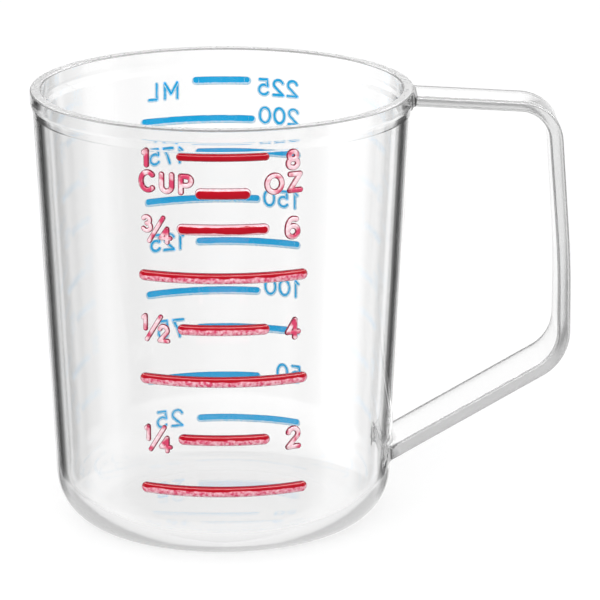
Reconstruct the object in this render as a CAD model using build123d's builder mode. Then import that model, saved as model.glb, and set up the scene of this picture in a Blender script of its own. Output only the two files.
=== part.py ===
"""A clear one-cup mixing and measuring cup with a flat strap handle and raised scales.

The cup's axis is Z and it stands on Z = 0. The handle reaches along +X, in the XZ plane.
The ounce scale is on the -Y side of the wall and the millilitre scale is on the +Y side.
All lengths are in millimetres and all angles in degrees.
"""

import os
from math import atan, cos, hypot, radians, sin, tan

from build123d import *

os.makedirs("parts", exist_ok=True)

# Cup: an open vessel with a slight draft, a flat base and a large corner under the wall.
cup_height = 82.5
wall_top_radius = 35.05
wall_foot_radius = 30.95
wall_thickness = 2.0
floor_thickness = 2.9
base_corner_radius = 9.5
rim_edge_radius = 0.4

# Lip: the band outside the rim, and the slope that runs from it back into the wall.
lip_flare = 0.3
lip_height = 1.9
lip_slope_height = 1.9
lip_slope_radius = 2.0

# Handle: one flat strap, as an arm under the rim, a grip and a slanted lower arm. The drop is
# measured down from the rim, and the reach out from the wall. The grip bends at a share of
# its height, and leans back toward the cup above the bend.
arm_drop = 0.9
arm_slope = 3.2
arm_thickness = 2.05
grip_reach = 29.35
grip_lean = 2.1
grip_bend_share = 0.38
grip_thickness = 2.4
lower_root_height = 12.5
lower_slope = 30.1
top_corner_radius = 8.0
grip_bend_length = 12.0
low_corner_radius = 10.0

# Strap width: even along each arm, and tapered over the grip.
strap_top_width = 9.7
strap_low_width = 15.2
taper_top_drop = 5.5
taper_length = 41.0
taper_radius = 30.0
strap_edge_radius = 0.6
root_fillet_radius = 0.65

# Raised scale bars: how far they stand off the wall, and how much wider than a bar the slot is
# that rounds its ends.
bar_relief = 0.5
bar_end_margin = 0.3

# Ounce scale, one bar for each ounce: their lengths around the wall, and their widths.
ounce_long = 31.2
ounce_middle = 16.7
ounce_short = 10.0
ounce_width = 2.1
ounce_top_width = 1.5
ounce_lengths = [
    ounce_long, ounce_middle, ounce_long, ounce_middle,
    ounce_long, ounce_middle, ounce_short, ounce_middle,
]

# Millilitre scale, one bar for each 25 ml. Its bars lie left and right by turns, which leaves
# room for their numbers, and the last one lies in the middle.
millilitre_long = 22.7
millilitre_middle = 20.4
millilitre_short = 11.2
millilitre_width = 1.6
left_shift = -4.1
right_shift = 5.2

# Where the bars lie, as shares of the cup's height, from the lowest bar up.
ounce_shares = [0.174, 0.294, 0.429, 0.548, 0.666, 0.776, 0.857, 0.938]
millilitre_shares = [0.115, 0.218, 0.335, 0.424, 0.542, 0.644, 0.756, 0.83, 0.921]

# Sizes that follow from the ones above.
lip_radius = wall_top_radius + lip_flare
lip_bottom = cup_height - lip_height
slope_bottom = lip_bottom - lip_slope_height
draft = (wall_top_radius - wall_foot_radius) / cup_height
wall_lean = atan(draft)
arm_root_height = cup_height - arm_drop
taper_top_height = cup_height - taper_top_drop
taper_low_height = taper_top_height - taper_length


def wall_radius(height):
    """Radius of the outside of the wall at a height above the table."""
    return wall_foot_radius + draft * height


def inner_radius(height):
    """Radius of the inside of the wall at a height above the table."""
    return wall_radius(height) - wall_thickness


def outside():
    """The outside of the cup in its half plane, from the middle of the base to the rim."""
    return FilletPolyline(
        (0, 0),
        (wall_foot_radius, 0),
        (wall_radius(slope_bottom), slope_bottom),
        (lip_radius, lip_bottom),
        (lip_radius, cup_height),
        radius=[base_corner_radius, lip_slope_radius, lip_slope_radius],
    )


# The half plane that the cup is revolved from lies opposite the handle, clear of its roots.
section_plane = Plane.XZ.rotated((0, 0, 180))

# The solid envelope of the cup's outside, which trims the handle to the wall.
with BuildPart() as envelope:
    with BuildSketch(section_plane):
        with BuildLine():
            outline = outside()
            Polyline(outline @ 1, (0, cup_height), outline @ 0)
        make_face()
    revolve(axis=Axis.Z)

# The wall's plain cone, without lip or corner, which the handle's roots are blended into.
with BuildPart() as wall_cone:
    with BuildSketch(section_plane):
        with BuildLine():
            Polyline(
                (0, 0),
                (wall_foot_radius, 0),
                (wall_radius(cup_height + lip_height), cup_height + lip_height),
                (0, cup_height + lip_height),
                close=True,
            )
        make_face()
    revolve(axis=Axis.Z)

# Cup body: the revolved vessel with its flat base, corner radii and flared lip.
with BuildPart() as cup_body:
    with BuildSketch(section_plane) as cup_section:
        with BuildLine():
            outline = outside()
            inside = FilletPolyline(
                (inner_radius(cup_height), cup_height),
                (inner_radius(floor_thickness), floor_thickness),
                (0, floor_thickness),
                radius=base_corner_radius - wall_thickness,
            )
            Line(outline @ 1, inside @ 0)
            Line(inside @ 1, outline @ 0)
        make_face()
        fillet(cup_section.vertices().group_by(Axis.Y)[-1], rim_edge_radius)
    revolve(axis=Axis.Z)
cup_body.part.label = "cup_body"
export_step(cup_body.part, "parts/cup_body.step")


# Handle: the side outline of the strap is bounded by an outer and an inner line, and the
# front outline gives its width.
arm_root_x = inner_radius(arm_root_height)
lower_root_x = inner_radius(lower_root_height)
arm_fall = tan(radians(arm_slope))
lower_rise = tan(radians(lower_slope))


def arm_height(x, depth):
    """Height of the upper arm at x, a depth below its top face."""
    return arm_root_height - arm_fall * (x - wall_top_radius) - depth / cos(radians(arm_slope))


def lower_height(x, depth):
    """Height of the lower arm at x, a depth above its under face."""
    rise = lower_rise * (x - wall_radius(lower_root_height))
    return lower_root_height + rise + depth / cos(radians(lower_slope))


def is_root(edge):
    """Whether an edge is one of those where the strap meets the wall."""
    middle = edge @ 0.5
    apart = hypot(middle.X, middle.Y) - wall_radius(middle.Z)
    return edge.bounding_box().min.X > 0 and abs(apart) < lip_flare


def strap_line(depth, arm_depth):
    """One face of the strap from root to root, at a depth inside its outer face."""
    grip_x = wall_top_radius + grip_reach - depth
    lean_x = grip_x - grip_lean
    top = arm_height(lean_x, arm_depth)
    low = lower_height(grip_x, depth)
    bend = low + grip_bend_share * (top - low)
    bend_radius = grip_bend_length / 2 / tan(atan(grip_lean / (top - bend)) / 2)
    return FilletPolyline(
        (arm_root_x, arm_height(arm_root_x, arm_depth)),
        (lean_x, top),
        (grip_x, bend),
        (grip_x, low),
        (lower_root_x, lower_height(lower_root_x, depth)),
        radius=[top_corner_radius - depth, bend_radius, low_corner_radius - depth],
    )


with BuildPart() as handle:
    with BuildSketch(Plane.XZ):
        with BuildLine():
            outer_face = strap_line(0, 0)
            inner_face = strap_line(grip_thickness, arm_thickness)
            Line(outer_face @ 0, inner_face @ 0)
            Line(outer_face @ 1, inner_face @ 1)
        make_face()
    extrude(amount=strap_low_width / 2, both=True)
    with BuildSketch(Plane.YZ) as strap_front:
        with BuildLine():
            Polyline(
                (-strap_low_width / 2, 0),
                (strap_low_width / 2, 0),
                (strap_low_width / 2, taper_low_height),
                (strap_top_width / 2, taper_top_height),
                (strap_top_width / 2, cup_height),
                (-strap_top_width / 2, cup_height),
                (-strap_top_width / 2, taper_top_height),
                (-strap_low_width / 2, taper_low_height),
                close=True,
            )
        make_face()
        fillet(strap_front.vertices().group_by(Axis.Y)[1:3], taper_radius)
    extrude(amount=wall_top_radius + grip_reach, mode=Mode.INTERSECT)
    strap_ends = handle.faces().filter_by(Plane.YZ).sort_by(Axis.X)[:2]
    across = handle.edges().filter_by(Axis.Y)
    fillet(handle.edges() - across - strap_ends.edges(), strap_edge_radius)
    add(wall_cone.part)
    fillet(handle.edges().filter_by(is_root), root_fillet_radius)
    add(wall_cone.part, mode=Mode.SUBTRACT)
    add(envelope.part, mode=Mode.SUBTRACT)
handle.part.label = "handle"
export_step(handle.part, "parts/handle.step")


def scale_bar(name, side, height, length, width, shift):
    """Write one raised bar: a tube around the cup, of which only the crown stands off the wall.

    The side is 1 for the ounce scale and -1 for the millilitre scale, and the shift moves the
    bar around the wall toward the handle.
    """
    tube_radius = width**2 / (8 * bar_relief) + bar_relief / 2
    buried = tube_radius - bar_relief
    radius = wall_radius(height)
    left = radius * sin((shift - length / 2) / radius)
    right = radius * sin((shift + length / 2) / radius)
    with BuildPart() as bar:
        with BuildSketch(Plane.XZ):
            with Locations(((left + right) / 2, height)):
                SlotOverall(right - left, width + 2 * bar_end_margin)
        extrude(amount=side * (radius + 2 * bar_relief))
        with BuildSketch(section_plane):
            with Locations((radius - buried * cos(wall_lean), height + buried * sin(wall_lean))):
                Circle(tube_radius)
        revolve(axis=Axis.Z, mode=Mode.INTERSECT)
        add(wall_cone.part, mode=Mode.SUBTRACT)
    bar.part.label = name
    export_step(bar.part, f"parts/{name}.step")


for count, (share, length) in enumerate(zip(ounce_shares, ounce_lengths), start=1):
    top = count == len(ounce_shares)
    width = ounce_top_width if top else ounce_width
    scale_bar(f"ounce_bar_{count}", 1, share * cup_height, length, width, 0)

for count, share in enumerate(millilitre_shares, start=1):
    name = f"millilitre_bar_{25 * count}"
    height = share * cup_height
    if count == len(millilitre_shares):
        scale_bar(name, -1, height, millilitre_short, millilitre_width, 0)
    elif count % 2:
        scale_bar(name, -1, height, millilitre_middle, millilitre_width, right_shift)
    else:
        scale_bar(name, -1, height, millilitre_long, millilitre_width, left_shift)
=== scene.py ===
"""A clear one-cup mixing and measuring cup with raised, inked scales, dressed for the camera.

The cup's axis is Z and it stands on Z = 0. Its handle reaches along +X, the ounce scale is on the
-Y side and the millilitre scale on the +Y side. Sizes are in millimetres, and MM turns them into
metres where a mesh is finished.
"""

from math import cos, hypot, pi, radians, sin, sqrt, tan

import bmesh
import bpy
from mathutils import Matrix, Vector


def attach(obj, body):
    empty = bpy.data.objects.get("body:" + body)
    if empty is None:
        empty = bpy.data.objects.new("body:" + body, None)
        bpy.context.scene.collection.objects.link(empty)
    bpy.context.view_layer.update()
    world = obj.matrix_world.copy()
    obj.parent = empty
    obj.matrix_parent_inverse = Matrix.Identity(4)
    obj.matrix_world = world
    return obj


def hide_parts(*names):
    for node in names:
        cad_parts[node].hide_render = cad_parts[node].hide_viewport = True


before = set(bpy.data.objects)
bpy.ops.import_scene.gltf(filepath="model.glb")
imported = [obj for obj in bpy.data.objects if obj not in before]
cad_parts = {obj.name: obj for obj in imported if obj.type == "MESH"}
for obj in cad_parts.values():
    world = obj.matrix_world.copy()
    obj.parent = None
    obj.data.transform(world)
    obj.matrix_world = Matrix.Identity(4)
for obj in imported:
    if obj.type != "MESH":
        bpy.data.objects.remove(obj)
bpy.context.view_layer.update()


# The vessel: a cup of clear, hard plastic with a flat base, a large corner under the wall and a
# flared lip. It is injection moulded in one piece with its handle, and here it is turned from
# its half section.
MM = 0.001
CUP_HEIGHT = 82.5
WALL_TOP_RADIUS = 35.05
WALL_FOOT_RADIUS = 30.95
WALL_THICKNESS = 2.0
FLOOR_THICKNESS = 2.9
BASE_CORNER_RADIUS = 9.5
RIM_EDGE_RADIUS = 0.4
LIP_RADIUS = 35.35
LIP_BOTTOM = 80.1
LIP_SLOPE_BOTTOM = 78.3
LIP_CORNER = 1.5
MOUTH_RADIUS = 33.33
MOUTH_BOTTOM = 79.7
MOUTH_SLOPE_BOTTOM = 77.9
MOUTH_CORNER = 0.5
DRAFT = (WALL_TOP_RADIUS - WALL_FOOT_RADIUS) / CUP_HEIGHT
TURN_STEPS = 288
RING_STEP = 1.5
CORNER_STEPS = 10
SAME_POINT = 0.0005


def wall_radius(height):
    """Radius of the outside of the wall at a height."""
    return WALL_FOOT_RADIUS + DRAFT * height


def outside_radius(height):
    """Radius of the outside with its lip at a height."""
    if height >= LIP_BOTTOM:
        return LIP_RADIUS
    if height <= LIP_SLOPE_BOTTOM:
        return wall_radius(height)
    share = (height - LIP_SLOPE_BOTTOM) / (LIP_BOTTOM - LIP_SLOPE_BOTTOM)
    return wall_radius(LIP_SLOPE_BOTTOM) * (1 - share) + LIP_RADIUS * share


def round_corner(before, corner, after, radius):
    """The centre, start and end of the arc that rounds a corner between two points."""
    back, on = (before - corner).normalized(), (after - corner).normalized()
    half = back.angle(on) / 2
    centre = corner + (back + on).normalized() * (radius / sin(half))
    return centre, corner + back * (radius / tan(half)), corner + on * (radius / tan(half))


def arc_point(centre, start, end, share):
    """The point at a share of the way along an arc."""
    first, last = start - centre, end - centre
    whole = first.angle(last)
    spoke = first * sin((1 - share) * whole) + last * sin(share * whole)
    return centre + spoke / sin(whole)


def straight_run(start, end):
    """Points along a straight run, about RING_STEP apart, without its start."""
    count = max(1, round((end - start).length / RING_STEP))
    return [start.lerp(end, k / count) for k in range(1, count + 1)]


def finished_mesh(name, bm):
    """A smooth mesh in metres from a bmesh in millimetres."""
    bmesh.ops.scale(bm, vec=(MM, MM, MM), verts=bm.verts)
    mesh = bpy.data.meshes.new(name)
    bm.to_mesh(mesh)
    bm.free()
    mesh.shade_smooth()
    return mesh


def linked_object(name, data):
    """An object in the scene, at the origin."""
    made = bpy.data.objects.new(name, data)
    bpy.context.scene.collection.objects.link(made)
    return made


def new_piece(name, bm):
    """A smooth object from a bmesh in millimetres, with its faces turned outwards."""
    bmesh.ops.remove_doubles(bm, verts=bm.verts, dist=SAME_POINT)
    bmesh.ops.recalc_face_normals(bm, faces=bm.faces)
    return linked_object(name, finished_mesh(name, bm))


# The half section from the middle of the base out, up, over the rim and back along the inside,
# each corner with the radius that rounds it.
section = [
    ((0, 0), None),
    ((WALL_FOOT_RADIUS, 0), BASE_CORNER_RADIUS),
    ((wall_radius(LIP_SLOPE_BOTTOM), LIP_SLOPE_BOTTOM), LIP_CORNER),
    ((LIP_RADIUS, LIP_BOTTOM), LIP_CORNER),
    ((LIP_RADIUS, CUP_HEIGHT), RIM_EDGE_RADIUS),
    ((MOUTH_RADIUS, CUP_HEIGHT), RIM_EDGE_RADIUS),
    ((MOUTH_RADIUS, MOUTH_BOTTOM), MOUTH_CORNER),
    ((wall_radius(MOUTH_SLOPE_BOTTOM) - WALL_THICKNESS, MOUTH_SLOPE_BOTTOM), MOUTH_CORNER),
    (
        (wall_radius(FLOOR_THICKNESS) - WALL_THICKNESS, FLOOR_THICKNESS),
        BASE_CORNER_RADIUS - WALL_THICKNESS,
    ),
    ((0, FLOOR_THICKNESS), None),
]
corners = [Vector(corner) for corner, _ in section]
outline = [corners[0]]
for before, corner, after, (_, radius) in zip(corners, corners[1:], corners[2:], section[1:]):
    centre, start, end = round_corner(before, corner, after, radius)
    outline += straight_run(outline[-1], start)
    outline += [
        arc_point(centre, start, end, k / CORNER_STEPS) for k in range(1, CORNER_STEPS + 1)
    ]
outline += straight_run(outline[-1], corners[-1])

bm = bmesh.new()
ring = [bm.verts.new((-point.x, 0, point.y)) for point in outline]
ring_edges = [bm.edges.new(pair) for pair in zip(ring, ring[1:])]
bmesh.ops.spin(
    bm, geom=ring + ring_edges, cent=(0, 0, 0), axis=(0, 0, 1), angle=2 * pi, steps=TURN_STEPS,
    use_merge=True,
)
vessel = new_piece("vessel", bm)


# The strap handle: a flat strap of the same plastic, with an arm under the lip, a leaning grip
# that widens downwards and a slanted lower arm. It is moulded with the vessel, and its section is
# carried from root to root and flares into the wall as a small fillet.
ARM_DROP = 0.9
ARM_SLOPE = radians(3.2)
ARM_THICKNESS = 2.05
GRIP_REACH = 29.35
GRIP_LEAN = 2.1
GRIP_BEND_SHARE = 0.38
GRIP_BEND_RADIUS = 172.0
GRIP_THICKNESS = 2.4
LOWER_ROOT_HEIGHT = 12.5
LOWER_SLOPE = radians(30.1)
TOP_CORNER_RADIUS = 8.0
LOW_CORNER_RADIUS = 10.0
STRAP_TOP_WIDTH = 9.7
STRAP_LOW_WIDTH = 15.2
TAPER_LOW_HEIGHT = 36.0
TAPER_TOP_HEIGHT = 77.0
TAPER_SOFTNESS = 0.02
STRAP_EDGE_RADIUS = 0.6
ROOT_FILLET_RADIUS = 0.8

# The strap's ends lie inside the wall, and its arm stays a little under the top of the rim.
ARM_END_X = 34.0
LOWER_END_X = 30.1
UNDER_RIM = 0.05


def even_steps(start, stop, count):
    """Even steps from start toward stop, without stop."""
    return [start + (stop - start) * k / count for k in range(count)]


# Where the strap's sections lie along each straight and bend: close together near each root,
# where the fillets are. The edge turns round the strap's long edges.
ARM_SHARES = even_steps(0, 0.1, 24) + even_steps(0.1, 1, 12)
GRIP_SHARES = even_steps(0, 1, 16)
LOWER_SHARES = even_steps(0, 0.84, 14) + even_steps(0.84, 1, 32) + [1]
BEND_SHARES = even_steps(0, 1, 20)
EDGE_TURNS = even_steps(0, pi / 2, 5) + [pi / 2]


def strap_line(depth, arm_depth):
    """Points along one face of the strap, from the arm's root to the lower root."""
    arm_height = CUP_HEIGHT - ARM_DROP - arm_depth / cos(ARM_SLOPE)
    foot_height = LOWER_ROOT_HEIGHT + depth / cos(LOWER_SLOPE)
    grip_x = WALL_TOP_RADIUS + GRIP_REACH - depth

    def arm_point(x):
        return Vector((x, arm_height - tan(ARM_SLOPE) * (x - WALL_TOP_RADIUS)))

    def lower_point(x):
        rise = tan(LOWER_SLOPE) * (x - wall_radius(LOWER_ROOT_HEIGHT))
        return Vector((x, foot_height + rise))

    top, low = arm_point(grip_x - GRIP_LEAN), lower_point(grip_x)
    bend = Vector((grip_x, low.y + GRIP_BEND_SHARE * (top.y - low.y)))
    corners = [arm_point(ARM_END_X), top, bend, low, lower_point(LOWER_END_X)]
    radii = [TOP_CORNER_RADIUS - depth, GRIP_BEND_RADIUS, LOW_CORNER_RADIUS - depth]
    points, start = [], corners[0]
    for before, corner, after, radius, shares in zip(
        corners, corners[1:], corners[2:], radii, (ARM_SHARES, GRIP_SHARES, GRIP_SHARES)
    ):
        centre, first, last = round_corner(before, corner, after, radius)
        points += [start.lerp(first, share) for share in shares]
        points += [arc_point(centre, first, last, share) for share in BEND_SHARES]
        start = last
    return points + [start.lerp(corners[-1], share) for share in LOWER_SHARES]


def strap_width(height):
    """Width of the strap, which tapers over the grip with soft ends to the taper."""
    share = (height - TAPER_LOW_HEIGHT) / (TAPER_TOP_HEIGHT - TAPER_LOW_HEIGHT)
    left = 1 - (share + sqrt(share * share + TAPER_SOFTNESS ** 2)) / 2
    share = 1 - (left + sqrt(left * left + TAPER_SOFTNESS ** 2)) / 2
    return STRAP_LOW_WIDTH + (STRAP_TOP_WIDTH - STRAP_LOW_WIDTH) * share


def root_flare(gap):
    """How far the strap's surface has spread at a gap from the wall, to fillet its root."""
    if gap >= ROOT_FILLET_RADIUS:
        return 0.0
    inset = ROOT_FILLET_RADIUS - max(gap, 0.0)
    return ROOT_FILLET_RADIUS - sqrt(max(0.0, ROOT_FILLET_RADIUS ** 2 - inset ** 2))


bm = bmesh.new()
sections, last_edges = [], None
for outer, inner in zip(strap_line(0, 0), strap_line(GRIP_THICKNESS, ARM_THICKNESS)):
    middle, across = (outer + inner) / 2, outer - inner
    flat = across.length / 2 - STRAP_EDGE_RADIUS
    wide = strap_width(middle.y) / 2 - STRAP_EDGE_RADIUS
    across.normalize()
    verts = []
    for out, side in ((1, 1), (-1, 1), (-1, -1), (1, -1)):
        for turn in EDGE_TURNS if out == side else EDGE_TURNS[::-1]:
            up, along = out * cos(turn), side * sin(turn)
            y = side * wide + STRAP_EDGE_RADIUS * along
            point = middle + across * (out * flat + STRAP_EDGE_RADIUS * up)
            flare = root_flare(hypot(point.x, y) - outside_radius(point.y))
            point += across * (up * flare)
            height = min(point.y, CUP_HEIGHT - UNDER_RIM)
            verts.append(bm.verts.new((point.x, y + along * flare, height)))
    edges = [bm.edges.new(pair) for pair in zip(verts, verts[1:] + verts[:1])]
    if last_edges:
        bmesh.ops.bridge_loops(bm, edges=last_edges + edges)
    sections.append(verts)
    last_edges = edges
bm.faces.new(sections[0])
bm.faces.new(sections[-1])
strap = new_piece("strap", bm)


# The clear moulding: the vessel and its handle as the one piece that the mould makes. The plastic
# is clear and polished, with a finely scuffed rim top, rim edges that are duller and painted a
# darker grey for the shade of their outlines, and satin sides on the strap, where the mould parts.
NORMALS_WEIGHT = 80

union = vessel.modifiers.new("join", "BOOLEAN")
union.operation = "UNION"
union.solver = "EXACT"
union.object = strap
graph = bpy.context.evaluated_depsgraph_get()
joined = bpy.data.meshes.new_from_object(vessel.evaluated_get(graph))
moulding = linked_object("clear_moulding", joined)
for scrap in (vessel, strap):
    bpy.data.objects.remove(scrap)
even = moulding.modifiers.new("even_normals", "WEIGHTED_NORMAL")
even.mode = "FACE_AREA"
even.weight = NORMALS_WEIGHT
even.keep_sharp = True

# Light that turns too often inside the plastic ends on a painted glow, which stands in for the
# light that would come through and is brighter low on the cup than high. Its strength is given low
# and high on the cup as (height, strength).
PLASTIC_IOR = 1.585
ABSORPTION = 8
TRAPPED_DEPTH = 10.5
GLOW_LOW, GLOW_HIGH = (30, 0.8), (50, 0.12)


def grey(level):
    """A grey colour."""
    return (level, level, level, 1)


def set_inputs(tree, node, inputs):
    """Sets a node's inputs, each to a plain value or to the output of another node."""
    for key, value in dict(inputs).items():
        if isinstance(value, bpy.types.NodeSocket):
            tree.links.new(value, node.inputs[key])
        else:
            node.inputs[key].default_value = value


def new_node(tree, kind, inputs=(), **settings):
    """A node of a tree, with its settings and inputs."""
    node = tree.nodes.new("ShaderNode" + kind)
    for name, setting in settings.items():
        setattr(node, name, setting)
    set_inputs(tree, node, inputs)
    return node


def maths(tree, operation, *values):
    """The output of a maths node."""
    return new_node(tree, "Math", enumerate(values), operation=operation).outputs["Value"]


def step(tree, value, start, stop, low=0.0, high=1.0, **settings):
    """The output of a node that goes from low to high as a value goes from start to stop."""
    inputs = {"Value": value, "From Min": start, "From Max": stop, "To Min": low, "To Max": high}
    return new_node(tree, "MapRange", inputs, **settings).outputs["Result"]


def mixed(tree, factor, first, second):
    """The output of a node that mixes two colours."""
    inputs = {"Factor": factor, "A": first, "B": second}
    return new_node(tree, "Mix", inputs, data_type="RGBA").outputs["Result"]


def noise(tree, scale, detail):
    """The output of a noise node that is fixed to its piece."""
    place = new_node(tree, "TexCoord").outputs["Object"]
    inputs = {"Vector": place, "Scale": scale, "Detail": detail}
    return new_node(tree, "TexNoise", inputs).outputs["Fac"]


def node_group(name, inputs, outputs):
    """A node group with number inputs and named outputs, its input side and its output side."""
    group = bpy.data.node_groups.new(name, "ShaderNodeTree")
    for label in inputs:
        group.interface.new_socket(label, in_out="INPUT", socket_type="NodeSocketFloat")
    for label, kind in outputs.items():
        group.interface.new_socket(label, in_out="OUTPUT", socket_type="NodeSocket" + kind)
    return group, group.nodes.new("NodeGroupInput").outputs, group.nodes.new("NodeGroupOutput")


def new_material(name):
    """A material with its node tree and its shader."""
    material = bpy.data.materials.new(name)
    material.use_nodes = True
    return material, material.node_tree, material.node_tree.nodes["Principled BSDF"]


plastic_grain, given, made = node_group(
    "plastic_grain",
    ["Scale", "Detail", "Low", "High", "Smooth", "Rough", "Relief", "Depth"],
    {"Roughness": "Float", "Normal": "Vector"},
)
grain = noise(plastic_grain, given["Scale"], given["Detail"])
roughness = step(
    plastic_grain, grain, given["Low"], given["High"], given["Smooth"], given["Rough"]
)
relief = {"Strength": given["Relief"], "Distance": given["Depth"], "Height": grain}
relief = new_node(plastic_grain, "Bump", relief)
set_inputs(plastic_grain, made, {"Roughness": roughness, "Normal": relief.outputs["Normal"]})


def clear_plastic(name, tone, clearness, grain):
    """Clear plastic of a tone and clearness, with its grain and a painted glow for light trapped in
    it.
    """
    material, tree, shader = new_material(name)
    surface = new_node(tree, "Group", node_tree=plastic_grain)
    set_inputs(tree, surface, grain)
    set_inputs(tree, shader, {
        "Base Color": grey(tone),
        "Transmission Weight": clearness,
        "IOR": PLASTIC_IOR,
        "Roughness": surface.outputs["Roughness"],
        "Normal": surface.outputs["Normal"],
    })
    place = new_node(tree, "TexCoord").outputs["Object"]
    height = new_node(tree, "SeparateXYZ", {"Vector": place}).outputs["Z"]
    # Painted glow: rays trapped in the plastic end on emission in place of light, brighter low on
    # the cup.
    (low, bright), (high, dim) = GLOW_LOW, GLOW_HIGH
    strength = step(tree, height, low * MM, high * MM, bright, dim)
    painted_glow = new_node(tree, "Emission", {"Strength": strength})
    depth = new_node(tree, "LightPath").outputs["Ray Depth"]
    either = new_node(tree, "MixShader", {
        "Fac": maths(tree, "GREATER_THAN", depth, TRAPPED_DEPTH),
        1: shader.outputs["BSDF"],
        2: painted_glow.outputs["Emission"],
    })
    tint = new_node(tree, "VolumeAbsorption", {"Color": grey(0), "Density": ABSORPTION})
    set_inputs(tree, tree.nodes["Material Output"], {
        "Surface": either.outputs["Shader"], "Volume": tint.outputs["Volume"],
    })
    return material


POLISH = {
    "Scale": 60, "Detail": 1, "Low": 0.4, "High": 0.9, "Smooth": 0, "Rough": 0.02,
    "Relief": 0.02, "Depth": 0.001,
}
SCUFF = {
    "Scale": 1500, "Detail": 2, "Low": 0, "High": 1, "Smooth": 0.15, "Rough": 0.5,
    "Relief": 0.12, "Depth": 0.0002,
}
SATIN = {**SCUFF, "Smooth": 0.2, "Rough": 0.26, "Relief": 0.02}
EDGE = {**SCUFF, "Smooth": 0.15, "Rough": 0.25, "Relief": 0.02}
FINISHES = [
    ("clear_plastic", 1, 1, POLISH),
    ("clear_plastic_scuffed", 0.74, 0.5, SCUFF),
    ("clear_plastic_satin", 0.98, 0.78, SATIN),
    # The rim edges' darker grey is painted shade that draws outlines at the rim; their roughness is
    # their own.
    ("clear_plastic_shaded_rim_edge", 0.45, 0.5, EDGE),
]
POLISHED, SCUFFED, SATIN_SIDE, RIM_EDGE = range(len(FINISHES))
joined.materials.clear()
for finish in FINISHES:
    joined.materials.append(clear_plastic(*finish))

# Which faces have which finish: how far a face leans, and where it lies.
FLAT = 0.9
RIM_TOP_DEPTH = 0.2
EDGE_LEAN = 0.12
SIDE_LEAN = 0.4
SIDE_CLEARANCE = 0.9
for face in joined.polygons:
    radius = hypot(face.center.x, face.center.y) / MM
    height = face.center.z / MM
    face.material_index = POLISHED
    if face.normal.z > FLAT and height > CUP_HEIGHT - RIM_TOP_DEPTH and radius < LIP_RADIUS:
        face.material_index = SCUFFED
    # Rim edges: rougher, and painted a darker grey for shade.
    if EDGE_LEAN < face.normal.z < FLAT and height > CUP_HEIGHT - RIM_EDGE_RADIUS:
        face.material_index = RIM_EDGE
    if abs(face.normal.y) > SIDE_LEAN and radius > outside_radius(height) + SIDE_CLEARANCE:
        face.material_index = SATIN_SIDE
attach(moulding, "root")
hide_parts("cup_body", "handle")


# The ounce bars: ridges of the same moulding, with red ink rolled onto their crowns. Each is a
# round-ended bead that lies on the wall, and its ink is thick in some places and thin in others.
BEAD_GAP = 0.02
BAR_RELIEF = 0.5
BAR_STEPS = 36
TUBE_STEPS = 3
BALL_STEPS = (16, 10)
SHARP_TURN = radians(35)
CLOSED_GAP = 0.01
OUNCE_WIDTH = 2.1
OUNCE_TOP_WIDTH = 1.5
OUNCE_BARS = [
    (0.174, 31.2), (0.294, 16.7), (0.429, 31.2), (0.548, 16.7),
    (0.666, 31.2), (0.776, 16.7), (0.857, 10.0), (0.938, 16.7),
]


def smooth_runs(stroke):
    """A stroke cut at its sharp corners."""
    points = [Vector(point) for point in stroke]
    cuts = [
        k for k in range(1, len(points) - 1)
        if (points[k] - points[k - 1]).angle(points[k + 1] - points[k]) > SHARP_TURN
    ]
    return [stroke[first:last + 1] for first, last in zip([0] + cuts, cuts + [len(stroke) - 1])]


def add_tube(bm, run, radius):
    """Adds a round tube along a run to a bmesh, with a ball at each open end."""
    closed = (Vector(run[0]) - Vector(run[-1])).length < CLOSED_GAP
    points = run[:-1] if closed else run
    curve = bpy.data.curves.new("stroke", "CURVE")
    curve.dimensions = "3D"
    curve.bevel_depth = radius
    curve.bevel_resolution = TUBE_STEPS
    curve.use_fill_caps = True
    spline = curve.splines.new("POLY")
    spline.points.add(len(points) - 1)
    for point, (u, v) in zip(spline.points, points):
        point.co = (u, v, 0, 1)
    spline.use_cyclic_u = closed
    holder = linked_object("stroke", curve)
    graph = bpy.context.evaluated_depsgraph_get()
    mesh = bpy.data.meshes.new_from_object(holder.evaluated_get(graph))
    bm.from_mesh(mesh)
    bpy.data.objects.remove(holder)
    bpy.data.curves.remove(curve)
    bpy.data.meshes.remove(mesh)
    for end in () if closed else (points[0], points[-1]):
        bmesh.ops.create_uvsphere(
            bm, u_segments=BALL_STEPS[0], v_segments=BALL_STEPS[1], radius=radius,
            matrix=Matrix.Translation((*end, 0)),
        )


def flat_beads(strokes, width, relief):
    """Beads along flat strokes, with the values that the ink reads stored on each point.

    Across is how far a point faces up the wall, aside is 0 on the crown and 1 at the foot, and
    rear is 1 on the bead's back, toward the wall.
    """
    radius = width / 2
    bm = bmesh.new()
    for stroke in strokes:
        for run in smooth_runs(stroke):
            add_tube(bm, run, radius)
    across = bm.verts.layers.float.new("across")
    aside = bm.verts.layers.float.new("aside")
    rear = bm.verts.layers.float.new("rear")
    bm.normal_update()
    for vert in bm.verts:
        rise = min(1.0, abs(vert.co.z) / radius)
        vert[across] = vert.normal.y
        vert[aside] = sqrt(1 - rise * rise)
        vert[rear] = min(1.0, max(0.0, -2 * vert.co.z / radius))
        vert.co.z = BEAD_GAP + max(0.0, vert.co.z) * relief / radius
    return bm


def on_wall(name, bm, side, middle, height):
    """Wraps flat beads onto the wall: side -1 is the ounce side and 1 the millilitre side."""
    for vert in bm.verts:
        u, v, lift = vert.co
        radius = wall_radius(height + v)
        around = middle - side * u
        turn = side * (pi / 2 - around / radius)
        out = radius + lift
        vert.co = (out * cos(turn), out * sin(turn), height + v)
    piece = linked_object(name, finished_mesh(name, bm))
    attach(piece, "root")
    return piece


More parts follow.
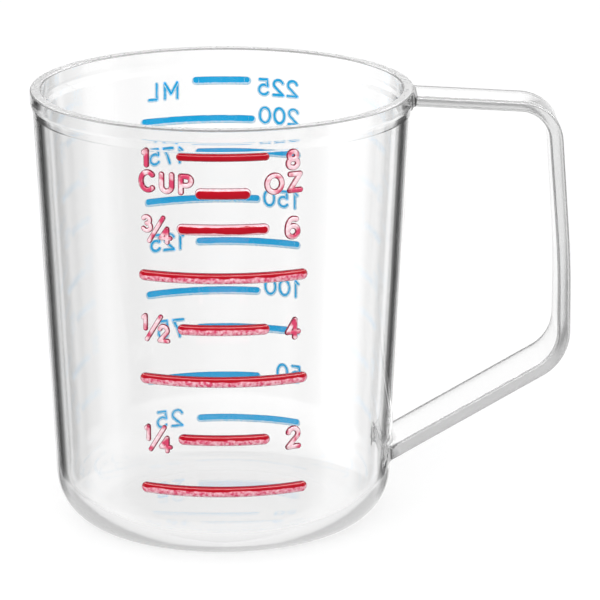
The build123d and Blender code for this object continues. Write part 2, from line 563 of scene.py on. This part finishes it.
def bar(length, width):
    """The middle line of a straight bar that ends in round caps."""
    half = (length - width) / 2
    return [(-half + 2 * half * k / BAR_STEPS, 0) for k in range(BAR_STEPS + 1)]


def stored(tree, name):
    """The output of a node that reads a value stored on the beads."""
    return new_node(tree, "Attribute", attribute_name=name).outputs["Fac"]


# Where ink lies: in its core it is full, elsewhere it is thin and speckled, and at the foot of
# the bead it gathers in an outline. Middle and lean draw the core to the crown and to the bead's
# upper or lower side, ragged makes it uneven, and limit and outline say where each one starts.
PATTERN_INPUTS = ("Middle", "Lean", "Ragged", "Limit", "Outline")
CORE_SOFTNESS = 0.12
OUTLINE_SOFTNESS = 0.1
BLOTS = (420, 2)
SPECKLES = (1800, 3)
SPECKLE_SPAN = (0.35, 0.65)
NOISE_MIDDLE = 0.5
INK_ROUGHNESS = 0.07
ink_pattern, given, made = node_group(
    "ink_pattern", PATTERN_INPUTS, {"Core": "Float", "Edge": "Float", "Speckle": "Float"}
)
blots = maths(ink_pattern, "SUBTRACT", noise(ink_pattern, *BLOTS), NOISE_MIDDLE)
aside, across = stored(ink_pattern, "aside"), stored(ink_pattern, "across")
value = maths(ink_pattern, "MULTIPLY", aside, given["Middle"])
value = maths(ink_pattern, "MULTIPLY_ADD", across, given["Lean"], value)
value = maths(ink_pattern, "MULTIPLY_ADD", blots, given["Ragged"], value)
core_end = maths(ink_pattern, "ADD", given["Limit"], CORE_SOFTNESS)
outline_end = maths(ink_pattern, "ADD", given["Outline"], OUTLINE_SOFTNESS)
set_inputs(ink_pattern, made, {
    "Core": step(ink_pattern, value, given["Limit"], core_end, 1.0, 0.0),
    "Edge": step(ink_pattern, aside, given["Outline"], outline_end),
    "Speckle": step(ink_pattern, noise(ink_pattern, *SPECKLES), *SPECKLE_SPAN),
})


def ink(name, colours, pattern, specular, glow, rear_glow):
    """Ink on a bead: the full ink, the thin ink's dark and pale colours, and the outline.

    The glow stands for light that comes through the ink, and the rear glow for the same light on
    the bead's back, as seen through the wall.
    """
    material, tree, shader = new_material(name)
    full, thin_dark, thin_pale, outline = [(*colour, 1) for colour in colours]
    lies = new_node(tree, "Group", node_tree=ink_pattern)
    set_inputs(tree, lies, zip(PATTERN_INPUTS, pattern))
    colour = mixed(tree, lies.outputs["Speckle"], thin_dark, thin_pale)
    colour = mixed(tree, lies.outputs["Core"], colour, full)
    colour = mixed(tree, lies.outputs["Edge"], colour, outline)
    share = maths(tree, "MULTIPLY_ADD", stored(tree, "rear"), rear_glow - glow, glow)
    through = new_node(tree, "VectorMath", {"Vector": colour, "Scale": share}, operation="SCALE")
    set_inputs(tree, shader, {
        "Base Color": colour,
        "Roughness": INK_ROUGHNESS,
        "Specular IOR Level": specular,
        "Emission Color": through.outputs["Vector"],
        "Emission Strength": 1,
    })
    return material


RED = (0.47, 0.0, 0.012)
MAROON = (0.26, 0.0, 0.035)
ROSE = (0.7, 0.06, 0.15)
PINK = (0.93, 0.55, 0.62)
BLUSH = (0.96, 0.78, 0.82)
RED_SPECULAR = 0.6
RED_REAR_GLOW = 0.55


def red_ink(name, colours, pattern, glow):
    """Red ink, with a maroon outline."""
    return ink(name, (*colours, MAROON), pattern, RED_SPECULAR, glow, RED_REAR_GLOW)


# Red ink from the lower bars' thin coat to the top bar's full one: the colours, the pattern in the
# order of its inputs, and the glow.
red_low = red_ink("red_ink_low", (RED, ROSE, PINK), (0.25, -1.0, 0.7, -0.08, 0.84), 0.13)
red_core = red_ink("red_ink_core", (RED, PINK, PINK), (1.0, 0.0, 0.6, 0.55, 0.84), 0.13)
red_seven = red_ink("red_ink_seven", (RED, PINK, BLUSH), (1.0, 0.35, 0.2, 0.75, 0.86), 0.13)
red_full = red_ink("red_ink_full", (RED, RED, ROSE), (1.0, 0.0, 0.2, 1.2, 0.9), 0.1)
OUNCE_INKS = {8: red_full, 7: red_seven, 6: red_core}

for ounces, (share, length) in enumerate(OUNCE_BARS, start=1):
    width = OUNCE_TOP_WIDTH if ounces == len(OUNCE_BARS) else OUNCE_WIDTH
    bead = flat_beads([bar(length, width)], width, BAR_RELIEF)
    piece = on_wall(f"ounce_bead_{ounces}", bead, -1, 0, share * CUP_HEIGHT)
    piece.data.materials.append(OUNCE_INKS.get(ounces, red_low))
    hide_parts(f"ounce_bar_{ounces}")


# The millilitre bars: the same kind of ridges on the far side of the wall, with blue ink. They lie
# left and right by turns beside their numbers, given as height share, length and place around.
MILLILITRE_WIDTH = 1.6
MILLILITRE_BARS = [
    (0.115, 22.0, 5.5), (0.218, 24.1, -4.2), (0.335, 22.0, 5.5), (0.424, 24.1, -4.2),
    (0.542, 22.0, 5.5), (0.644, 24.1, -4.2), (0.756, 22.0, 5.5), (0.83, 23.3, -4.9),
    (0.921, 11.7, 0),
]
AZURE = (0.0, 0.42, 0.82)
SKY = (0.36, 0.7, 0.94)
PALE = (0.7, 0.85, 0.95)
BLUE_SPECULAR = 0.2
BLUE_GLOW = 0.2
BLUE_REAR_GLOW = 0.65


def blue_ink(name, outline, pattern):
    """Blue ink, with an outline of its own colour."""
    colours = (AZURE, SKY, PALE, outline)
    return ink(name, colours, pattern, BLUE_SPECULAR, BLUE_GLOW, BLUE_REAR_GLOW)


blue = blue_ink("blue_ink", SKY, (1.0, -0.35, 0.4, 0.58, 0.97))

for count, (share, length, middle) in enumerate(MILLILITRE_BARS, start=1):
    bead = flat_beads([bar(length, MILLILITRE_WIDTH)], MILLILITRE_WIDTH, BAR_RELIEF)
    piece = on_wall(f"millilitre_bead_{25 * count}", bead, 1, middle, share * CUP_HEIGHT)
    piece.visible_glossy = False
    piece.data.materials.append(blue)
    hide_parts(f"millilitre_bar_{25 * count}")


# The numbers and unit words: raised strokes of the same moulding beside the bars, inked with
# them. Each letter is drawn as strokes in a box of one unit, then set at its size and place.
LABEL_RELIEF = 0.42
WORD_STROKE = 1.12
FRACTION_STROKE = 0.95
MILLILITRE_STROKE = 0.78
MILLILITRE_STRETCH = 1.1


def arc(cx, cy, rx, ry, start, end, steps):
    """Points on an ellipse, from a start to an end angle in degrees."""
    angles = [radians(start + (end - start) * k / steps) for k in range(steps + 1)]
    return [(cx + rx * cos(angle), cy + ry * sin(angle)) for angle in angles]


LETTERS = {
    "0": [arc(0, 0, 0.32, 0.5, 90, 450, 28)],
    "1": [[(-0.13, 0.34), (0.04, 0.5), (0.04, -0.5)]],
    "2": [arc(0, 0.22, 0.29, 0.28, 165, -35, 16) + [(-0.3, -0.5), (0.32, -0.5)]],
    "3": [arc(-0.02, 0.26, 0.25, 0.24, 150, -85, 16) + arc(0, -0.23, 0.3, 0.27, 85, -150, 18)],
    "4": [[(0.13, -0.5), (0.13, 0.5), (-0.34, -0.2), (0.36, -0.2)]],
    "5": [[(0.26, 0.5), (-0.2, 0.5), (-0.24, 0.06)] + arc(0, -0.18, 0.3, 0.32, 125, -145, 18)],
    "6": [
        [(0.2, 0.46)] + arc(0.02, -0.08, 0.32, 0.58, 80, 180, 10)[1:]
        + arc(0, -0.2, 0.3, 0.3, 180, 540, 28)[1:]
    ],
    "7": [[(-0.28, 0.5), (0.3, 0.5), (0.06, 0.0), (-0.08, -0.5)]],
    "8": [arc(0, 0.26, 0.24, 0.24, -90, 270, 24), arc(0, -0.23, 0.3, 0.27, 90, 450, 28)],
    "C": [arc(0, 0, 0.38, 0.5, 48, 312, 26)],
    "U": [[(-0.34, 0.5)] + arc(0, -0.16, 0.34, 0.34, 180, 360, 16) + [(0.34, 0.5)]],
    "P": [[(-0.3, -0.5), (-0.3, 0.5)] + arc(0.04, 0.22, 0.28, 0.28, 90, -90, 14) + [(-0.3, -0.06)]],
    "O": [arc(0, 0, 0.4, 0.5, 90, 450, 30)],
    "Z": [[(-0.32, 0.5), (0.34, 0.5), (-0.36, -0.5), (0.36, -0.5)]],
    "M": [[(-0.38, -0.5), (-0.38, 0.5), (0, -0.2), (0.38, 0.5), (0.38, -0.5)]],
    "L": [[(-0.234, 0.5), (-0.234, -0.5), (0.252, -0.5)]],
    "/": [[(-0.3, -0.5), (0.3, 0.5)]],
}


def lettering(name, side, middle, height, stroke, material, letters):
    """A raised label, from its letters with their places, heights and stretch."""
    strokes = []
    for letter, u, v, tall, stretch in letters:
        tall -= stroke
        for line in LETTERS[letter]:
            strokes.append([(u + x * tall * stretch, v + y * tall) for x, y in line])
    beads = flat_beads(strokes, stroke, LABEL_RELIEF)
    piece = on_wall(f"label_{name}", beads, side, middle, height)
    piece.visible_glossy = False
    piece.data.materials.append(material)


# The ounce side: each label's place around the wall, height and stroke, and for each of its
# letters the place, how far it is raised, its height and its stretch.
OUNCE_LABELS = [
    ("one", -14.0, 76.87, WORD_STROKE, [("1", 0, 0, 3.8, 1.0)]),
    ("eight", 12.7, 76.48, WORD_STROKE, [("8", 0, 0, 4.1, 1.0)]),
    ("cup", -10.2, 72.45, WORD_STROKE, [
        ("C", -3.45, 0.1, 4.4, 1.05), ("U", 0.1, 0, 4.2, 0.9), ("P", 3.6, -0.1, 4.1, 1.0),
    ]),
    ("oz", 11.0, 72.29, WORD_STROKE, [("O", -1.75, 0, 4.2, 1.1), ("Z", 2.1, 0, 4.1, 0.95)]),
    ("three_quarter", -12.1, 63.69, FRACTION_STROKE, [
        ("3", -1.82, 0.95, 3.5, 1.0), ("/", -0.05, 0, 5.4, 1.0), ("4", 1.67, -1.0, 3.45, 1.0),
    ]),
    ("six", 12.65, 63.83, WORD_STROKE, [("6", 0, 0, 4.5, 1.0)]),
    ("half", -12.5, 45.11, FRACTION_STROKE, [
        ("1", -2.0, 0.99, 3.4, 1.0), ("/", -0.3, 0, 5.4, 1.0), ("2", 1.57, -0.9, 3.7, 0.9),
    ]),
    ("four", 12.7, 44.87, WORD_STROKE, [("4", 0, 0, 4.4, 0.9)]),
    ("quarter", -12.25, 24.07, FRACTION_STROKE, [
        ("1", -1.9, 0.95, 3.4, 1.0), ("/", -0.05, 0, 5.4, 1.0), ("4", 1.5, -1.0, 3.45, 1.0),
    ]),
    ("two", 12.8, 24.05, WORD_STROKE, [("2", 0, 0, 4.6, 0.95)]),
]
red_number = red_ink(
    "red_ink_number", (ROSE, PINK, BLUSH), (0.0, 0.0, 1.0, -0.08, 0.6), 0.12
)
for name, middle, height, stroke, letters in OUNCE_LABELS:
    lettering(name, -1, middle, height, stroke, red_number, letters)

# The millilitre side: each label's place around the wall and height, the height of its letters,
# and the place of each letter.
MILLILITRE_LABELS = [
    ("ml", "ML", -11.6, 74.3, 3.8, (-1.54, 2.2)),
    ("n225", "225", 11.35, 74.85, 3.7, (-2.95, 0, 2.95)),
    ("n200", "200", 11.55, 69.39, 3.7, (-2.95, 0, 2.95)),
    ("n175", "175", -11.3, 61.95, 3.8, (-2.805, -0.33, 2.585)),
    ("n150", "150", 12.3, 53.43, 3.75, (-3.025, -0.385, 2.64)),
    ("n125", "125", -11.3, 45.02, 3.85, (-2.805, -0.33, 2.585)),
    ("n100", "100", 12.5, 36.04, 3.8, (-3.025, -0.385, 2.64)),
    ("n75", "75", -10.8, 27.82, 4.1, (-1.65, 1.595)),
    ("n50", "50", 14.0, 19.16, 3.8, (-1.54, 1.54)),
    ("n25", "25", -11.2, 9.85, 4.0, (-1.65, 1.65)),
]
blue_number = blue_ink("blue_ink_number", AZURE, (1.0, -0.35, 0.6, 0.42, 0.93))
for name, text, middle, height, tall, places in MILLILITRE_LABELS:
    letters = [
        (letter, place, 0, tall, MILLILITRE_STRETCH) for letter, place in zip(text, places)
    ]
    lettering(name, 1, middle, height, MILLILITRE_STROKE, blue_number, letters)


# The stage: a plain pale floor that keeps the cup's shadow, and a white card under the base that
# shows only through the plastic.
FLOOR_SIZE = 3
FLOOR_DROP = 0.05 * MM
FLOOR_TONE = 0.4
FLOOR_LIFT = 0.72
CARD_DROP = 0.03 * MM
CARD_RADIUS = 34 * MM
CARD_STEPS = 96
CARD_LIGHT = 0.98


def stage_sheet(name, bm, drop, material, hidden_from):
    """A flat sheet of the stage, a little under the base and hidden from some kinds of ray."""
    bmesh.ops.translate(bm, vec=(0, 0, -drop), verts=bm.verts)
    mesh = bpy.data.meshes.new(name)
    bm.to_mesh(mesh)
    bm.free()
    mesh.materials.append(material)
    sheet = linked_object(name, mesh)
    for kind in hidden_from:
        setattr(sheet, f"visible_{kind}", False)


paper, tree, shader = new_material("floor_paper")
camera_ray = new_node(tree, "LightPath").outputs["Is Camera Ray"]
set_inputs(tree, shader, {
    "Base Color": grey(FLOOR_TONE),
    "Roughness": 1,
    "Specular IOR Level": 0,
    "Emission Color": grey(1),
    "Emission Strength": maths(tree, "MULTIPLY", camera_ray, FLOOR_LIFT),
})
bm = bmesh.new()
bmesh.ops.create_grid(bm, x_segments=1, y_segments=1, size=FLOOR_SIZE)
stage_sheet("floor", bm, FLOOR_DROP, paper, ("transmission", "glossy"))

card, tree, shader = new_material("under_card")
set_inputs(tree, shader, {
    "Base Color": grey(0),
    "Specular IOR Level": 0,
    "Emission Color": grey(1),
    "Emission Strength": CARD_LIGHT,
})
bm = bmesh.new()
bmesh.ops.create_circle(bm, cap_ends=True, segments=CARD_STEPS, radius=CARD_RADIUS)
stage_sheet("under_card", bm, CARD_DROP, card, ("camera", "diffuse", "glossy", "shadow"))


# The surroundings: clear plastic is drawn by what it bends into view, so darker gaps stand between
# the white panels around the cup. The panels are given by their angle away from straight ahead of
# the camera, in degrees, and their level.
AHEAD = radians(1.2)
PANELS = [
    (0, 1.0), (6, 1.0), (10, 0.93), (18, 0.9), (20.5, 0.05), (35, 0.05), (39, 0.6), (42, 0.95),
    (47, 0.95), (53, 0.4), (72, 0.4), (78, 0.95), (102, 0.95), (108, 0.5), (127, 0.5),
    (133, 0.95), (137, 0.95), (143, 0.5), (162, 0.5), (168, 0.9), (180, 0.9),
]
PANEL_MIDDLE, PANEL_HALF, PANEL_END = -0.2, 0.16, 0.26
CEILING = 0.86
STRIP_MIDDLE, STRIP_SLOPE, STRIP_TOP, STRIP_LIGHT = 0.5, 7.0, 0.5, 16.0
BEHIND, BEHIND_SLOPE = radians(105), 4.0
LEFT_START, LEFT_END, LEFT_LEVEL = radians(-7), radians(2), 0.81
ROOM_LIGHT, MIRRORED_LOSS, SOFT_LIGHT = 1.15, 0.88, 0.63
NOT_YET_BENT = 0.5

world = bpy.data.worlds.new("studio")
bpy.context.scene.world = world
world.use_nodes = True
room = world.node_tree
room.nodes.clear()
path = new_node(room, "LightPath").outputs
toward = new_node(room, "TexCoord").outputs["Generated"]
toward = new_node(room, "SeparateXYZ", {"Vector": toward}).outputs
azimuth = maths(room, "ARCTAN2", toward["X"], toward["Y"])
away = maths(room, "ABSOLUTE", maths(room, "SUBTRACT", azimuth, AHEAD))

ramp = new_node(room, "ValToRGB", {"Fac": maths(room, "DIVIDE", away, pi)})
while len(ramp.color_ramp.elements) < len(PANELS):
    ramp.color_ramp.elements.new(0.5)
for element, (angle, level) in zip(ramp.color_ramp.elements, PANELS):
    element.position = angle / 180
    element.color = grey(level)
steep = maths(room, "ABSOLUTE", maths(room, "SUBTRACT", toward["Z"], PANEL_MIDDLE))
over_panels = step(room, steep, PANEL_HALF, PANEL_END)
panels = mixed(room, over_panels, ramp.outputs["Color"], grey(CEILING))
left = step(room, azimuth, LEFT_START, LEFT_END, LEFT_LEVEL, interpolation_type="SMOOTHSTEP")
panels = new_node(room, "VectorMath", {"Vector": panels, "Scale": left}, operation="SCALE")

# A bright strip overhead shows only where the cup and its ink mirror it from outside.
off_strip = maths(room, "SUBTRACT", toward["Z"], STRIP_MIDDLE)
off_strip = maths(room, "ABSOLUTE", maths(room, "MULTIPLY", off_strip, STRIP_SLOPE))
strip = maths(room, "MAXIMUM", maths(room, "SUBTRACT", 1.0, off_strip), 0.0)
strip = maths(room, "MULTIPLY", maths(room, "MINIMUM", strip, STRIP_TOP), STRIP_LIGHT)
strip = maths(room, "MULTIPLY", strip, path["Is Glossy Ray"])
outside = maths(room, "LESS_THAN", path["Transmission Depth"], NOT_YET_BENT)
strip = maths(room, "MULTIPLY", strip, outside)

# The room is darker behind the camera for light that the cup mirrors, so that no white veil lies
# over the marks. The camera itself sees plain white.
behind = maths(room, "MULTIPLY", maths(room, "SUBTRACT", away, BEHIND), BEHIND_SLOPE)
behind = maths(room, "MINIMUM", maths(room, "MAXIMUM", behind, 0.0), 1.0)
mirrored = maths(room, "MULTIPLY", maths(room, "MINIMUM", path["Glossy Depth"], 1.0), behind)
level = maths(room, "SUBTRACT", ROOM_LIGHT, maths(room, "MULTIPLY", mirrored, MIRRORED_LOSS))
camera_share = maths(room, "MULTIPLY", path["Is Camera Ray"], ROOM_LIGHT - 1)
level = maths(room, "SUBTRACT", level, camera_share)
seen = maths(room, "MAXIMUM", path["Is Glossy Ray"], path["Is Transmission Ray"])
colour = mixed(room, seen, grey(SOFT_LIGHT), panels.outputs["Vector"])
colour = mixed(room, path["Is Camera Ray"], colour, grey(1))
light = {"Color": colour, "Strength": maths(room, "ADD", strip, level)}
light = new_node(room, "Background", light).outputs["Background"]
new_node(room, "OutputWorld", {"Surface": light})


# The lamp and the camera: one soft box above the camera, and a long lens that looks down at the
# cup from the ounce side.
LAMP_SIZE = (0.8, 0.11)
LAMP_POWER = 3.5
LAMP_PLACE = (-0.05, -0.75, 0.37)
LAMP_AIM = (0, 0, 0.04)
LENS_LENGTH = 256.7
SENSOR_WIDTH = 36
CAMERA_PLACE = (-0.00175, -0.76952, 0.25557)
CAMERA_DIP = radians(15.537)
CLEAR_BOUNCES = 24
MIRROR_BOUNCES = 12
SOFT_BOUNCES = 4

lamp = bpy.data.lights.new("softbox", "AREA")
lamp.shape = "RECTANGLE"
lamp.size, lamp.size_y = LAMP_SIZE
lamp.energy = LAMP_POWER
softbox = linked_object("softbox", lamp)
softbox.visible_transmission = False
softbox.visible_glossy = False
softbox.location = LAMP_PLACE
aim = Vector(LAMP_AIM) - softbox.location
softbox.rotation_euler = aim.to_track_quat("-Z", "Y").to_euler()

lens = bpy.data.cameras.new("camera")
lens.lens = LENS_LENGTH
lens.sensor_width = SENSOR_WIDTH
camera = linked_object("camera", lens)
camera.location = CAMERA_PLACE
camera.rotation_euler = (pi / 2 - CAMERA_DIP, 0, -AHEAD)
scene = bpy.context.scene
scene.camera = camera
scene.view_settings.view_transform = "Standard"
scene.cycles.max_bounces = CLEAR_BOUNCES
scene.cycles.transmission_bounces = CLEAR_BOUNCES
scene.cycles.glossy_bounces = MIRROR_BOUNCES
scene.cycles.diffuse_bounces = SOFT_BOUNCES
